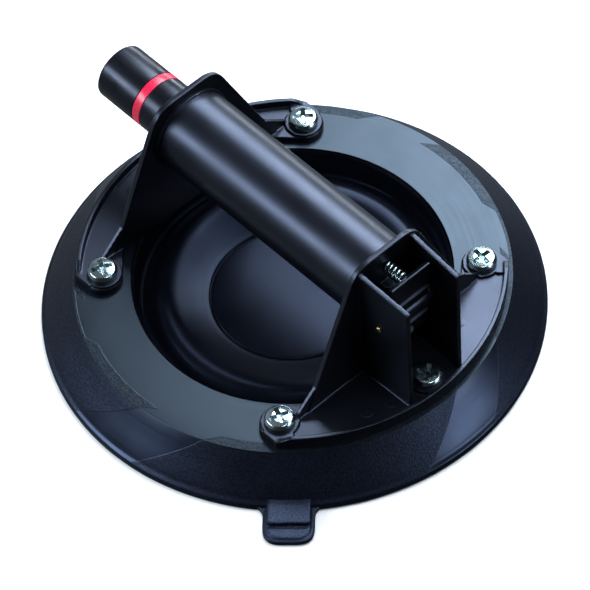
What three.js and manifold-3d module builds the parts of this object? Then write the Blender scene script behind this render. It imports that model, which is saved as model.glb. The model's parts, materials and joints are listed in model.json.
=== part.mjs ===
// Hand-pump vacuum cup: a round rubber pad, a one-piece handle whose grip is the pump cylinder,
// a sprung plunger with a red low-vacuum band, and a sprung release lever.
// Millimetres, +Z up. Origin: centre of the pad on its sealing plane. +X runs along the grip
// towards the release lever; the plunger stands out towards -X.

import * as THREE from "three";
import { mergeVertices } from "three/addons/utils/BufferGeometryUtils.js";
import Module from "manifold-3d";

const wasm = await Module();
wasm.setup();

// ---------------------------------------------------------------- driving dimensions
const GAP = 0.3; // clearance kept between touching pieces

const PAD_RADIUS = 101.6; // 8 inch pad
const PAD_RIM_TOP = 3.2;
const LIP_INNER_RADIUS = 91; // inner edge of the flat sealing lip
const CEILING = 4.9; // height of the hollow under the pad
const RING_TOP = 20; // flat ring that carries the feet
const RING_OUTER = 87;
const RING_INNER = 63.6;
const PAD_SEGMENTS = 40;

const TAB_ANGLE = THREE.MathUtils.degToRad(-44.5);
const TAB_TIP = 117.6;
const TAB_HALF_WIDTH = 10.2;
const TAB_THICKNESS = 2.8;
const TAB_CORNER = 7.5;
const TAB_FLARE = 4.5; // how far the tab's root spreads into the rim
const TAB_GRIP = { to: 110.3, half: 8.5, low: 0.5, high: 5 }; // raised block for the finger

const STEEL_INNER = 68.8; // steel ring moulded into the pad
const STEEL_OUTER = 84.3;
const STEEL_LOW = 13.3;
const STEEL_HIGH = 17;
const NUT_HEIGHT = 4.4;
const NUT_RADIUS = 6.3; // across corners

const CORNER_SCREW = { x: 51.5, y: 55 };
const MIDDLE_SCREW_X = 77;
const SCREW_RADIUS = 3;
const SCREW_HOLE = 3.5;
const SCREW_HEAD_RADIUS = 6.1;
const SCREW_HEAD_HEIGHT = 3.5;
const SCREW_END = 9.2;
const RECESS = { reach: 4.1, half: 0.75, depth: 1.6 }; // cross recess in a screw's head

const GRIP_Z = 63.4; // axis of grip, plunger and pump chamber
const GRIP_RADIUS = 17.3;
const COLLAR_RADIUS = 18.4;
const CHAMBER_RADIUS = 13.2;
const CHAMBER_END = 46;
const FAR_PLATE = { from: -58.5, to: -56 };
const NEAR_PLATE = { from: 53.6, to: 56 };
const PLATE_TOP = 85.5;
const SHOULDER_RADIUS = 12;
const SHOULDER_Y = 7.9;
const PLATE_BASE_HALF = 45.2;

const BOX_END = 81.7; // outer ends of the side walls
const BOX_END_TOP = 80;
const BOX_ROOT_TOP = 82.5;
const WALL_THICKNESS = 2;
const GUSSET = { from: 38, to: 49, high: 34, low: 24.2 }; // from a plate's base out to the corner bosses
const WALL_ROOT_Y = 14.9;
const WALL_END_Y = 14.1;

const FOOT_BOTTOM = RING_TOP + 0.1;
const FOOT_FLOOR = 22.8;
const FOOT_LIP_TOP = 26.2;
const FOOT_RADIUS = 86;
const FOOT_LIP_WIDTH = 1.8;
const FOOT_END_Y = 63.2;
const FOOT_INNER_X = 52.5;
const FOOT_INNER_Y = 39.1; // where the straight inner edge meets the rounding round the corner boss
const FOOT_CORNER = 4.7; // length of the corner that stays at boss height, without a lip
const CORNER_PAD_X = 63;
const BOSS_TOP = 24;
const BOSS_RADIUS = 7.6;
const FOOT_END_RADIUS = 8.2;

const DUCT_X = 57.5; // air duct from the pad up to the chamber's closed end
const DUCT_RADIUS = 1.8;
const DUCT_WALL_RADIUS = 4.3;
const DUCT_TOP = 68.5;
const TUBE_RADIUS = 3;
const TUBE_HOLE = 3.3;
const TUBE_LOW = 7.9;
const TUBE_HIGH = 26.7;
const FILTER_RADIUS = 4.2;
const NOZZLE = { radius: 7.2, top: 14 }; // boss on the pad that the port tube stands in

const PUMP_SEGMENTS = 24;
const PLUNGER_RADIUS = 12.05;
const PLUNGER_END = -98.5;
const PLUNGER_HOLLOW = 9.6;
const BUSH = { from: -56.2, to: -48.4, inner: 12.4, outer: 15.1 };
const MOUTH_RADIUS = 15.4; // counterbore that holds the bush
const SNAP_GROOVE = { from: -57.7, to: -56.4, radius: 16.3 };
const SNAP_RING = { from: -57.5, to: -56.6, inner: 14.3, outer: 16, gap: 10 };
const WIPER = { inner: 12.35, outer: 13.6, seat: 13.9 };
const VALVE_RECESS = { radius: 7.5, depth: 2.2 }; // behind the check valve's disc
const VALVE_STEM = 1.6;
const BAND = { from: -77.5, to: -73.5 };
const PISTON_FACE = -47.9;
const PISTON = { spigot: 9, head: 2.4, neck: 3, neckRadius: 8.6, bore: 2.4 };
const CUP = { inner: 9, web: 2.2, height: 4.4, lip: 0.9 }; // lip seal round the piston's neck
const RETAINER = { inner: 2.6, outer: 10.8, thickness: 1.4 };
const PISTON_SCREW = { radius: 2, head: 4, height: 2.8, length: 12 };
const RETURN_COIL = { radius: 8.8, wire: 1.5, turns: 8, deadTurns: 1 };
const VALVE_SEAT = 3.2; // thickness of the ported disc
const PORTS = { count: 4, radius: 1.1, circle: 4.2 };
const UMBRELLA = { radius: 6.2, dome: 2.2, head: 2.4 }; // head is the bulb that keeps the stem in its hole

const LEVER_PIVOT = { x: 66, z: 57.8 };
const LEVER_HALF_WIDTH = 10;
const LEVER_LOW = { x: 67, z: 42 };
const LEVER_HIGH = { x: 69, z: 80.5 };
const LEVER_THICKNESS = 2.4;
const LEVER_RIBS = [66, 57.8, 50.2];
const PIN_RADIUS = 1.5;
const RELEASE_SPRING_Z = 75.2;
const RELEASE_COIL = { radius: 2.35, wire: 1, turns: 5, deadTurns: 0.5 };
const HUB = { radius: 3.1, half: 12.2 };
const PLUG = { radius: 4, stem: 1.35, hole: 1.65, head: 2.1 };
const PIN_HALF = 14.9;
const VALVE_Z = 46; // height of the release valve
const OUTLET = { wall: 3.8, end: 61.9, bore: 2 }; // branch of the duct that the release valve closes
const NIPPLE = { from: 58.8, to: 62.8, bore: 0.9, shank: 1.7, flange: 2.9 };
const SPRING_POST = 1.4;

// ---------------------------------------------------------------- geometry helpers
const AXIS_TURN = {
  x: (geometry) => geometry.rotateZ(-Math.PI / 2),
  y: (geometry) => geometry,
  z: (geometry) => geometry.rotateX(Math.PI / 2),
};

// Solid of revolution. Each profile point is [radius, distance along the axis].
function turned(profile, axis, segments = 24) {
  const points = profile.map(([radius, along]) => new THREE.Vector2(radius, along));
  return AXIS_TURN[axis](new THREE.LatheGeometry(points, segments));
}

function rod(radius, from, to, axis, segments = 16) {
  return turned([[0, from], [radius, from], [radius, to], [0, to]], axis, segments);
}

function sleeve(inner, outer, from, to, axis, segments = 24) {
  return turned([[inner, from], [outer, from], [outer, to], [inner, to], [inner, from]], axis, segments);
}

function block(x, y, z) {
  const geometry = new THREE.BoxGeometry(x[1] - x[0], y[1] - y[0], z[1] - z[0]);
  return geometry.translate((x[0] + x[1]) / 2, (y[0] + y[1]) / 2, (z[0] + z[1]) / 2);
}

// Outlines are drawn in (x, y) for axis z, (y, z) for axis x and (z, x) for axis y.
const X = new THREE.Vector3(1, 0, 0);
const Y = new THREE.Vector3(0, 1, 0);
const Z = new THREE.Vector3(0, 0, 1);
const OUTLINE_BASIS = {
  x: new THREE.Matrix4().makeBasis(Y, Z, X),
  y: new THREE.Matrix4().makeBasis(Z, X, Y),
  z: new THREE.Matrix4().makeBasis(X, Y, Z),
};

function extruded(shape, axis, from, to, curveSegments = 6) {
  const options = { depth: to - from, bevelEnabled: false, curveSegments };
  const geometry = new THREE.ExtrudeGeometry(shape, options);
  return geometry.translate(0, 0, from).applyMatrix4(OUTLINE_BASIS[axis]);
}

function polygon(points) {
  return new THREE.Shape(points.map(([u, v]) => new THREE.Vector2(u, v)));
}

function signedVolume(positions, triangles) {
  const [a, b, c] = [new THREE.Vector3(), new THREE.Vector3(), new THREE.Vector3()];
  let volume = 0;
  for (let i = 0; i < triangles.length; i += 3) {
    a.fromArray(positions, triangles[i] * 3);
    b.fromArray(positions, triangles[i + 1] * 3);
    c.fromArray(positions, triangles[i + 2] * 3);
    volume += a.dot(b.cross(c)) / 6;
  }
  return volume;
}

// Merged, outward-facing solid, without the flat triangles that a lathe leaves on its axis.
function toSolid(geometry) {
  const bare = geometry.clone();
  bare.deleteAttribute("normal");
  bare.deleteAttribute("uv");
  const merged = mergeVertices(bare, 1e-4);
  const positions = merged.attributes.position.array;
  const triangles = [];
  for (let i = 0; i < merged.index.count; i += 3) {
    const [a, b, c] = [0, 1, 2].map((corner) => merged.index.getX(i + corner));
    if (a !== b && b !== c && c !== a) triangles.push(a, b, c);
  }
  if (signedVolume(positions, triangles) < 0) triangles.reverse();
  const mesh = new wasm.Mesh({
    numProp: 3,
    vertProperties: new Float32Array(positions),
    triVerts: new Uint32Array(triangles),
  });
  return new wasm.Manifold(mesh);
}

function toGeometry(solid) {
  const mesh = solid.getMesh();
  const geometry = new THREE.BufferGeometry();
  geometry.setAttribute("position", new THREE.BufferAttribute(mesh.vertProperties, 3));
  geometry.setIndex(new THREE.BufferAttribute(mesh.triVerts, 1));
  geometry.computeVertexNormals();
  return geometry;
}

function combine(operation, [first, ...others]) {
  const solid = others.reduce((sum, other) => sum[operation](toSolid(other)), toSolid(first));
  return toGeometry(solid);
}

const join = (...pieces) => combine("add", pieces);
const cut = (...pieces) => combine("subtract", pieces);
const common = (...pieces) => combine("intersect", pieces);

// Coil spring along X with closed end turns, centred on y = 0.
function coilSpring({ radius, wire, from, to, z, turns, deadTurns }) {
  const stepsPerTurn = 9;
  const first = from + wire / 2;
  const last = to - wire / 2;
  const deadPitch = wire * 1.1;
  const live = last - first - 2 * deadTurns * deadPitch;
  const points = [];
  for (let step = 0; step <= turns * stepsPerTurn; step += 1) {
    const turn = step / stepsPerTurn;
    const start = Math.min(turn, deadTurns);
    const end = Math.max(turn - (turns - deadTurns), 0);
    const middle = (turn - start - end) / (turns - 2 * deadTurns);
    const x = first + (start + end) * deadPitch + middle * live;
    const angle = turn * 2 * Math.PI;
    points.push(new THREE.Vector3(x, radius * Math.cos(angle), z + radius * Math.sin(angle)));
  }
  const section = new THREE.Shape().absarc(0, 0, wire / 2, 0, 2 * Math.PI);
  const path = new THREE.CatmullRomCurve3(points);
  const options = { steps: points.length - 1, extrudePath: path, curveSegments: 3 };
  return new THREE.ExtrudeGeometry(section, options);
}

// ---------------------------------------------------------------- materials
function finish(color, roughness, metalness = 0) {
  return new THREE.MeshStandardMaterial({ color, roughness, metalness });
}

const RUBBER = finish(0x16181b, 0.55);
const BLACK_PLASTIC = finish(0x0d0d0f, 0.35);
const RED = finish(0xc4122e, 0.4);
const BRIGHT_STEEL = finish(0xc9ced2, 0.25, 1);
const DARK_STEEL = finish(0x8a8d90, 0.4, 1);
const BRASS = finish(0xc29a45, 0.3, 1);
const FELT = finish(0xb9b2a2, 0.95);
const WHITE_PLASTIC = finish(0xd8d6cf, 0.45);

const cup = new THREE.Group();

function addPiece(name, geometry, material, position = [0, 0, 0]) {
  const mesh = new THREE.Mesh(toGeometry(toSolid(geometry)), material);
  mesh.name = name;
  mesh.position.set(...position);
  cup.add(mesh);
}

// Screw centres, numbered round the pad from the lever's foot.
const SCREWS = [
  [CORNER_SCREW.x, -CORNER_SCREW.y],
  [MIDDLE_SCREW_X, 0],
  [CORNER_SCREW.x, CORNER_SCREW.y],
  [-CORNER_SCREW.x, CORNER_SCREW.y],
  [-MIDDLE_SCREW_X, 0],
  [-CORNER_SCREW.x, -CORNER_SCREW.y],
];

// ---------------------------------------------------------------- rubber pad
// Upper surface from the centre outwards, then the sealing lip and the hollow back to the centre.
function padProfile() {
  const top = [
    [0, 8.1], [32.2, 7.4], [33.4, 6.8], [34.6, 7.6], [38, 9.4], [43, 12.2], [48, 12.9],
    [53, 11.8], [57, 8.8], [60, 7.6], [61.8, 9], [RING_INNER, 19.2], [64.4, RING_TOP],
    [RING_OUTER - 0.5, RING_TOP], [90, 16.2], [99, 5.2], [PAD_RADIUS, PAD_RIM_TOP],
  ];
  const underside = [
    [PAD_RADIUS, 0.6], [101, 0], [LIP_INNER_RADIUS, 0], [86, CEILING + 0.4],
    [52, CEILING], [50.4, 7.6], [46, 9.2], [38, 6.2], [35, CEILING], [0, CEILING],
  ];
  return [...top, ...underside];
}

function pullTab() {
  const root = PAD_RADIUS - 4;
  const w = TAB_HALF_WIDTH;
  const cornerX = TAB_TIP - TAB_CORNER;
  const outline = new THREE.Shape();
  outline.moveTo(root, -w - TAB_FLARE);
  outline.quadraticCurveTo(PAD_RADIUS + 1, -w, PAD_RADIUS + TAB_FLARE, -w);
  outline.absarc(cornerX, -w + TAB_CORNER, TAB_CORNER, -Math.PI / 2, 0);
  outline.absarc(cornerX, w - TAB_CORNER, TAB_CORNER, 0, Math.PI / 2);
  outline.lineTo(PAD_RADIUS + TAB_FLARE, w);
  outline.quadraticCurveTo(PAD_RADIUS + 1, w, root, w + TAB_FLARE);
  const flat = extruded(outline, "z", 0, TAB_THICKNESS, 4);
  const { to, half, low, high } = TAB_GRIP;
  const raised = block([root - 1, to], [-half, half], [low, high]);
  return join(flat, raised).rotateZ(TAB_ANGLE);
}

function vacuumPad() {
  const body = turned(padProfile(), "z", PAD_SEGMENTS);
  const nozzle = rod(NOZZLE.radius, CEILING + 0.6, NOZZLE.top, "z").translate(DUCT_X, 0, 0);
  const pocket = sleeve(
    STEEL_INNER - GAP, STEEL_OUTER + GAP, STEEL_LOW - GAP, STEEL_HIGH + GAP, "z", PAD_SEGMENTS,
  );
  const screwPockets = SCREWS.flatMap(([x, y]) => [
    rod(NUT_RADIUS + GAP, SCREW_END - 0.9, STEEL_LOW, "z", 16).translate(x, y, 0),
    rod(SCREW_HOLE + 0.2, STEEL_HIGH, RING_TOP + 1, "z", 16).translate(x, y, 0),
  ]);
  const port = rod(TUBE_HOLE, CEILING - 1, NOZZLE.top + 1, "z", 16).translate(DUCT_X, 0, 0);
  const filterSeat = rod(FILTER_RADIUS + GAP, CEILING - 1, TUBE_LOW - 0.2, "z", 16).translate(DUCT_X, 0, 0);
  return cut(join(body, nozzle, pullTab()), pocket, ...screwPockets, port, filterSeat);
}

function buildPad() {
  addPiece("vacuum_pad", vacuumPad(), RUBBER);

  const ring = sleeve(STEEL_INNER, STEEL_OUTER, STEEL_LOW, STEEL_HIGH, "z", PAD_SEGMENTS);
  const through = [STEEL_LOW - 1, STEEL_HIGH + 1];
  const holes = SCREWS.map(([x, y]) => rod(SCREW_HOLE, ...through, "z", 16).translate(x, y, 0));
  addPiece("mounting_ring", cut(ring, ...holes), DARK_STEEL);

  const nutTop = STEEL_LOW - 0.2;
  SCREWS.forEach(([x, y], index) => {
    const blank = rod(NUT_RADIUS, nutTop - NUT_HEIGHT, nutTop, "z", 6);
    const nut = cut(blank, rod(SCREW_RADIUS + GAP, 0, RING_TOP, "z", 24));
    addPiece(`ring_nut_${index + 1}`, nut, DARK_STEEL, [x, y, 0]);
  });

  const filter = rod(FILTER_RADIUS, CEILING + 0.8, TUBE_LOW - 0.5, "z", 16);
  addPiece("filter_element", filter, FELT, [DUCT_X, 0, 0]);
  const retainer = sleeve(2.6, FILTER_RADIUS, CEILING, CEILING + 0.6, "z", 16);
  addPiece("filter_retainer", retainer, BLACK_PLASTIC, [DUCT_X, 0, 0]);
}

// ---------------------------------------------------------------- handle moulding
// Plate with round shoulders whose sides spread towards the base, drawn in (y, z).
function plateOutline() {
  const centreZ = PLATE_TOP - SHOULDER_RADIUS;
  const spread = Math.atan2(PLATE_BASE_HALF - SHOULDER_Y - SHOULDER_RADIUS, centreZ - FOOT_BOTTOM);
  const outline = new THREE.Shape();
  outline.moveTo(-PLATE_BASE_HALF, FOOT_BOTTOM);
  outline.lineTo(PLATE_BASE_HALF, FOOT_BOTTOM);
  outline.absarc(SHOULDER_Y, centreZ, SHOULDER_RADIUS, spread, Math.PI / 2);
  outline.absarc(-SHOULDER_Y, centreZ, SHOULDER_RADIUS, Math.PI / 2, Math.PI - spread);
  return outline;
}

// Foot seen from above: a slice of a disc with squared ends, rounded round the corner screws.
function footOutline() {
  const { x, y } = CORNER_SCREW;
  const web = THREE.MathUtils.degToRad(35);
  const arc = Math.asin(FOOT_END_Y / FOOT_RADIUS);
  const outline = new THREE.Shape();
  outline.moveTo(FOOT_INNER_X, -FOOT_INNER_Y);
  outline.absarc(x, -y, FOOT_END_RADIUS, Math.PI - web, 1.5 * Math.PI);
  outline.absarc(0, 0, FOOT_RADIUS, -arc, arc);
  outline.absarc(x, y, FOOT_END_RADIUS, Math.PI / 2, Math.PI + web);
  outline.lineTo(FOOT_INNER_X, FOOT_INNER_Y);
  return outline;
}

// Foot on the +X side; the other one is its mirror image.
function foot() {
  const outline = footOutline();
  const floor = extruded(outline, "z", FOOT_BOTTOM, FOOT_FLOOR);
  const lipInner = FOOT_RADIUS - FOOT_LIP_WIDTH;
  const lipRing = sleeve(lipInner, FOOT_RADIUS + 1, FOOT_BOTTOM, FOOT_LIP_TOP, "z", 60);
  const lipEnd = FOOT_END_Y - FOOT_CORNER;
  const lipSpan = block([FOOT_INNER_X, FOOT_RADIUS + 1], [-lipEnd, lipEnd], [FOOT_BOTTOM, FOOT_LIP_TOP]);
  const lip = common(extruded(outline, "z", FOOT_BOTTOM, FOOT_LIP_TOP), lipRing, lipSpan);
  const bosses = SCREWS.slice(0, 3).map(([x, y]) => {
    return rod(BOSS_RADIUS, FOOT_BOTTOM, BOSS_TOP, "z").translate(x, y, 0);
  });
  const raised = extruded(outline, "z", FOOT_BOTTOM, BOSS_TOP);
  const corners = [-1, 1].map((side) => {
    const ends = [side * FOOT_END_Y, side * CORNER_SCREW.y].sort((a, b) => a - b);
    return common(raised, block([CORNER_SCREW.x, CORNER_PAD_X], ends, [FOOT_BOTTOM, BOSS_TOP]));
  });
  return join(floor, lip, ...bosses, ...corners);
}

// Small gussets that run from a plate's base out to the corner bosses.
function gussets(plate) {
  return [-1, 1].map((side) => {
    const [inner, outer] = [side * GUSSET.from, side * GUSSET.to];
    const outline = polygon([
      [inner, FOOT_BOTTOM], [outer, FOOT_BOTTOM], [outer, GUSSET.low], [inner, GUSSET.high],
    ]);
    return extruded(outline, "x", plate.from + 0.4, plate.to - 0.4);
  });
}

function sideWalls() {
  const root = NEAR_PLATE.to - 1;
  return [-1, 1].map((side) => {
    const outline = polygon([
      [root, side * WALL_ROOT_Y], [BOX_END, side * WALL_END_Y],
      [BOX_END, side * (WALL_END_Y - WALL_THICKNESS)], [root, side * (WALL_ROOT_Y - WALL_THICKNESS)],
    ]);
    return extruded(outline, "z", FOOT_BOTTOM, BOX_ROOT_TOP);
  });
}

function gripShell() {
  const far = FAR_PLATE.to;
  return turned([
    [0, FAR_PLATE.from + 0.5], [GRIP_RADIUS, FAR_PLATE.from + 0.5], [COLLAR_RADIUS, far],
    [COLLAR_RADIUS, far + 1.6], [GRIP_RADIUS, far + 5], [GRIP_RADIUS, NEAR_PLATE.from - 2],
    [COLLAR_RADIUS, NEAR_PLATE.from + 0.5], [0, NEAR_PLATE.from + 0.5],
  ], "x", 36).translate(0, 0, GRIP_Z);
}

function ductWalls() {
  const column = rod(DUCT_WALL_RADIUS, FOOT_BOTTOM, DUCT_TOP, "z").translate(DUCT_X, 0, 0);
  const branch = rod(OUTLET.wall, DUCT_X, OUTLET.end, "x").translate(0, 0, VALVE_Z);
  const springPost = rod(SPRING_POST, NEAR_PLATE.to - 1, NEAR_PLATE.to + 2.6, "x", 16)
    .translate(0, 0, RELEASE_SPRING_Z);
  return [column, branch, springPost];
}

// Bore for the piston, mouth for the bush and its snap ring, recess behind the check valve.
function chamber() {
  const groove = SNAP_GROOVE;
  const recessEnd = CHAMBER_END + VALVE_RECESS.depth;
  return turned([
    [0, FAR_PLATE.from - 1], [MOUTH_RADIUS, FAR_PLATE.from - 1], [MOUTH_RADIUS, groove.from],
    [groove.radius, groove.from], [groove.radius, groove.to], [MOUTH_RADIUS, groove.to],
    [MOUTH_RADIUS, BUSH.to + 0.2], [CHAMBER_RADIUS, BUSH.to + 0.2], [CHAMBER_RADIUS, CHAMBER_END],
    [VALVE_RECESS.radius, CHAMBER_END], [VALVE_RECESS.radius, recessEnd], [0, recessEnd],
  ], "x", PUMP_SEGMENTS).translate(0, 0, GRIP_Z);
}

function ducts() {
  return [
    rod(DUCT_RADIUS, CHAMBER_END + 1, DUCT_X, "x", 12).translate(0, 0, GRIP_Z),
    rod(DUCT_RADIUS, TUBE_HIGH, GRIP_Z + DUCT_RADIUS, "z", 12).translate(DUCT_X, 0, 0),
    rod(TUBE_HOLE, FOOT_BOTTOM - 1, TUBE_HIGH + GAP, "z", 16).translate(DUCT_X, 0, 0),
    rod(OUTLET.bore, DUCT_X, OUTLET.end + 1, "x", 16).translate(0, 0, VALVE_Z),
  ];
}

function handleBody() {
  const plates = [FAR_PLATE, NEAR_PLATE].map(({ from, to }) => extruded(plateOutline(), "x", from, to, 4));
  const nearFoot = foot();
  const farFoot = nearFoot.clone().rotateZ(Math.PI);
  const moulding = join(
    plates[0], plates[1], nearFoot, farFoot, ...gussets(NEAR_PLATE), ...gussets(FAR_PLATE),
    ...sideWalls(), gripShell(), ...ductWalls(),
  );
  const slope = polygon([
    [BOX_ROOT_TOP, NEAR_PLATE.to], [PLATE_TOP, NEAR_PLATE.to],
    [PLATE_TOP, BOX_END + 1], [BOX_END_TOP, BOX_END + 1],
  ]);
  const wallTops = extruded(slope, "y", -WALL_ROOT_Y - 1, WALL_ROOT_Y + 1);
  const through = [FOOT_BOTTOM - 1, FOOT_LIP_TOP + 1];
  const screwHoles = SCREWS.map(([x, y]) => rod(SCREW_HOLE, ...through, "z", 16).translate(x, y, 0));
  const pinHole = rod(PIN_RADIUS + GAP, -PIN_HALF - 1, PIN_HALF + 1, "y", 16)
    .translate(LEVER_PIVOT.x, 0, LEVER_PIVOT.z);
  return cut(moulding, wallTops, ...screwHoles, pinHole, chamber(), ...ducts());
}

// ---------------------------------------------------------------- foot screws
function footScrew() {
  const base = BOSS_TOP + 0.1;
  const top = base + SCREW_HEAD_HEIGHT;
  const turnedScrew = turned([
    [0, SCREW_END], [SCREW_RADIUS - 0.7, SCREW_END], [SCREW_RADIUS, SCREW_END + 0.9], [SCREW_RADIUS, base],
    [SCREW_HEAD_RADIUS - 0.1, base], [SCREW_HEAD_RADIUS, base + 1], [SCREW_HEAD_RADIUS - 0.9, base + 2.4],
    [SCREW_HEAD_RADIUS - 2.8, top - 0.25], [0, top],
  ], "z", 16);
  const { reach, half } = RECESS;
  const depth = [top - RECESS.depth, top + 1];
  const slots = [block([-reach, reach], [-half, half], depth), block([-half, half], [-reach, reach], depth)];
  return cut(turnedScrew, ...slots);
}

function buildScrews() {
  SCREWS.forEach(([x, y], index) => {
    addPiece(`foot_screw_${index + 1}`, footScrew(), BRIGHT_STEEL, [x, y, 0]);
  });
}

// ---------------------------------------------------------------- pump
function buildChamberFittings() {
  const axis = [0, 0, GRIP_Z];
  const { from, to, inner, outer } = BUSH;
  const bush = turned([
    [inner, from], [outer, from], [outer, to], [inner, to], [inner, from + 4.4],
    [WIPER.seat, from + 4.4], [WIPER.seat, from + 2], [inner, from + 2], [inner, from],
  ], "x", PUMP_SEGMENTS);
  addPiece("guide_bush", bush, WHITE_PLASTIC, axis);

  const wiper = turned([
    [WIPER.inner, from + 2.9], [WIPER.outer, from + 2.2], [WIPER.outer, from + 4.2],
    [WIPER.inner, from + 3.5], [WIPER.inner, from + 2.9],
  ], "x", PUMP_SEGMENTS);
  addPiece("wiper_ring", wiper, RUBBER, axis);

  const ring = SNAP_RING;
  const fullRing = sleeve(ring.inner, ring.outer, ring.from, ring.to, "x", PUMP_SEGMENTS);
  const opening = block([ring.from - 1, ring.to + 1], [-ring.gap / 2, ring.gap / 2], [-ring.outer - 1, 0]);
  addPiece("bush_retaining_ring", cut(fullRing, opening), DARK_STEEL, axis);

  const seatFrom = CHAMBER_END - VALVE_SEAT;
  const disc = rod(CHAMBER_RADIUS - GAP, seatFrom, CHAMBER_END - GAP, "x", PUMP_SEGMENTS);
  const through = [seatFrom - 1, CHAMBER_END + 1];
  const stemHole = rod(VALVE_STEM + GAP, ...through, "x", 12);
  const ports = Array.from({ length: PORTS.count }, (_, index) => {
    const angle = (index * 2 * Math.PI) / PORTS.count;
    return rod(PORTS.radius, ...through, "x", 12).translate(0, 0, PORTS.circle).rotateX(angle);
  });
  addPiece("inlet_valve_seat", cut(disc, stemHole, ...ports), WHITE_PLASTIC, axis);

  const umbrella = turned([
    [0, seatFrom - UMBRELLA.dome], [UMBRELLA.head, seatFrom - UMBRELLA.dome + 0.1],
    [UMBRELLA.radius, seatFrom - 0.9], [UMBRELLA.radius - 0.1, seatFrom - 0.3],
    [VALVE_STEM, seatFrom - 0.2], [VALVE_STEM, CHAMBER_END], [UMBRELLA.head, CHAMBER_END + 0.2],
    [VALVE_STEM, CHAMBER_END + 1.4], [0, CHAMBER_END + 1.4],
  ], "x", 16);
  addPiece("inlet_valve", umbrella, RUBBER, axis);

  const tube = sleeve(DUCT_RADIUS, TUBE_RADIUS, TUBE_LOW, TUBE_HIGH, "z", 16);
  addPiece("port_tube", tube, BRASS, [DUCT_X, 0, 0]);
}

function buildPlunger() {
  const axis = [0, 0, GRIP_Z];
  const groove = PLUNGER_RADIUS - 0.8;
  const end = PISTON_FACE - 0.2;
  const plunger = turned([
    [0, PLUNGER_END], [PLUNGER_RADIUS - 1.2, PLUNGER_END], [PLUNGER_RADIUS - 0.35, PLUNGER_END + 0.35],
    [PLUNGER_RADIUS, PLUNGER_END + 1.2], [PLUNGER_RADIUS, BAND.from - 0.2], [groove, BAND.from - 0.2],
    [groove, BAND.to + 0.2], [PLUNGER_RADIUS, BAND.to + 0.2], [PLUNGER_RADIUS, end],
    [PLUNGER_HOLLOW, end], [PLUNGER_HOLLOW, PLUNGER_END + 4.5], [0, PLUNGER_END + 4.5],
  ], "x", PUMP_SEGMENTS);
  addPiece("plunger", plunger, BLACK_PLASTIC, axis);
  const band = sleeve(groove + 0.25, PLUNGER_RADIUS, BAND.from, BAND.to, "x", PUMP_SEGMENTS);
  addPiece("indicator_band", band, RED, axis);

  const shoulder = PISTON_FACE + PISTON.head;
  const neck = shoulder + PISTON.neck;
  const spigot = PISTON_FACE - PISTON.spigot;
  const piston = turned([
    [PISTON.bore, spigot], [PLUNGER_HOLLOW - GAP, spigot], [PLUNGER_HOLLOW - GAP, PISTON_FACE],
    [CHAMBER_RADIUS - GAP, PISTON_FACE], [CHAMBER_RADIUS - GAP, shoulder], [PISTON.neckRadius, shoulder],
    [PISTON.neckRadius, neck], [PISTON.bore, neck], [PISTON.bore, spigot],
  ], "x", PUMP_SEGMENTS);
  addPiece("piston", piston, WHITE_PLASTIC, axis);

  const lip = CHAMBER_RADIUS - 0.1;
  const heel = shoulder + 0.2;
  const web = heel + CUP.web;
  const mouth = heel + CUP.height;
  const seal = turned([
    [CUP.inner, heel], [lip - 0.8, heel], [lip - 0.4, heel + 1.4], [lip, mouth], [lip - CUP.lip, mouth],
    [lip - 1.6, web], [CUP.inner, web], [CUP.inner, heel],
  ], "x", PUMP_SEGMENTS);
  addPiece("piston_cup", seal, RUBBER, axis);

  const washerFrom = neck + 0.2;
  const washerTo = washerFrom + RETAINER.thickness;
  const washer = sleeve(RETAINER.inner, RETAINER.outer, washerFrom, washerTo, "x");
  addPiece("cup_retainer", washer, DARK_STEEL, axis);

  const { radius, head, height } = PISTON_SCREW;
  const headFrom = washerTo + 0.2;
  const tip = PISTON_FACE - PISTON_SCREW.length;
  const screw = turned([
    [0, tip], [radius - 0.4, tip], [radius, tip + 0.6], [radius, headFrom], [head, headFrom],
    [head, headFrom + height / 2], [head - 1.4, headFrom + height - 0.2], [0, headFrom + height],
  ], "x", 16);
  addPiece("piston_screw", screw, DARK_STEEL, axis);

  const ends = { from: washerTo + GAP, to: CHAMBER_END - VALVE_SEAT - GAP };
  addPiece("plunger_spring", coilSpring({ ...RETURN_COIL, ...ends, z: 0 }), BRIGHT_STEEL, axis);
}

// ---------------------------------------------------------------- release valve
function leverFace(z) {
  const lean = (LEVER_HIGH.x - LEVER_LOW.x) / (LEVER_HIGH.z - LEVER_LOW.z);
  return LEVER_LOW.x + (z - LEVER_LOW.z) * lean;
}

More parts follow.
